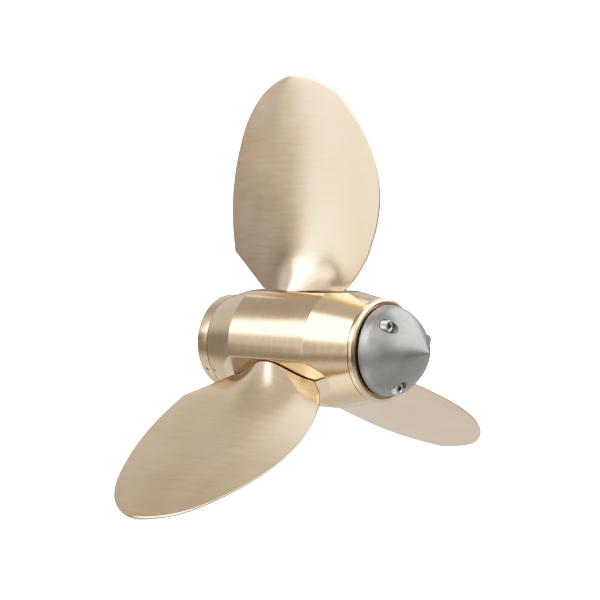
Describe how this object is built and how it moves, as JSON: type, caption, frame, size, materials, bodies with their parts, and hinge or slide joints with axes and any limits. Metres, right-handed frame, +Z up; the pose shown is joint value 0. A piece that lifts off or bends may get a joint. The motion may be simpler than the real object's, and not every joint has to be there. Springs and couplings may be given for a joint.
{
  "type": "feathering ship propeller",
  "caption": "Feathering ship propeller: flat bronze blades on a barrel hub with a taper-bored boss, mitre gears inside and a zinc anode cone at its tail.",
  "frame": {"origin": "centre of the forward face, at the mouth of the taper bore, on the shaft axis", "axes": "+X aft along the shaft axis to the point of the anode cone, +Z up along the axis of blade 1, blades feathered"},
  "size_m": [0.2087, 0.3754, 0.3251],
  "materials": {
    "bronze": "brushed and satin",
    "stainless_steel": "turned",
    "zinc": "dull cast zinc"
  },
  "bodies": {
    "boss": {"shaft_boss": "bronze", "front_ring": "bronze", "front_ring_screw_1": "stainless_steel", "front_ring_screw_2": "stainless_steel", "front_ring_screw_3": "stainless_steel", "front_ring_screw_4": "stainless_steel", "front_ring_screw_5": "stainless_steel", "front_ring_screw_6": "stainless_steel", "ring_index_screw": "bronze", "drive_gear": "stainless_steel", "nut_washer": "stainless_steel", "shaft_nut": "stainless_steel"},
    "hub": {"hub_body": "bronze", "hub_index_screw": "bronze", "tail_cap": "bronze", "anode_cone": "zinc", "anode_screw_1": "stainless_steel", "anode_screw_2": "stainless_steel", "anode_screw_3": "stainless_steel"},
    "first_blade": {"blade_1": "bronze", "blade_gear_1": "stainless_steel", "blade_gear_screw_1": "stainless_steel"},
    "second_blade": {"blade_2": "bronze", "blade_gear_2": "stainless_steel", "blade_gear_screw_2": "stainless_steel"},
    "third_blade": {"blade_3": "bronze", "blade_gear_3": "stainless_steel", "blade_gear_screw_3": "stainless_steel"}
  },
  "joints": [
    {"name": "hub_turn", "type": "hinge", "parent": "boss", "child": "hub", "pos_m": [0.08, 0, 0], "axis": [1, 0, 0], "range_deg": [-68, 68]},
    {"name": "blade_1_pitch", "type": "hinge", "parent": "hub", "child": "first_blade", "pos_m": [0.08, 0, 0], "axis": [0, 0, 1], "range_deg": [-68, 68]},
    {"name": "blade_2_pitch", "type": "hinge", "parent": "hub", "child": "second_blade", "pos_m": [0.08, 0, 0], "axis": [0, -0.866, -0.5], "range_deg": [-68, 68]},
    {"name": "blade_3_pitch", "type": "hinge", "parent": "hub", "child": "third_blade", "pos_m": [0.08, 0, 0], "axis": [0, 0.866, -0.5], "range_deg": [-68, 68]}
  ],
  "couplings": [
    {"joint": "blade_1_pitch", "follows": "hub_turn", "ratio": -1},
    {"joint": "blade_2_pitch", "follows": "hub_turn", "ratio": -1},
    {"joint": "blade_3_pitch", "follows": "hub_turn", "ratio": -1}
  ]
}
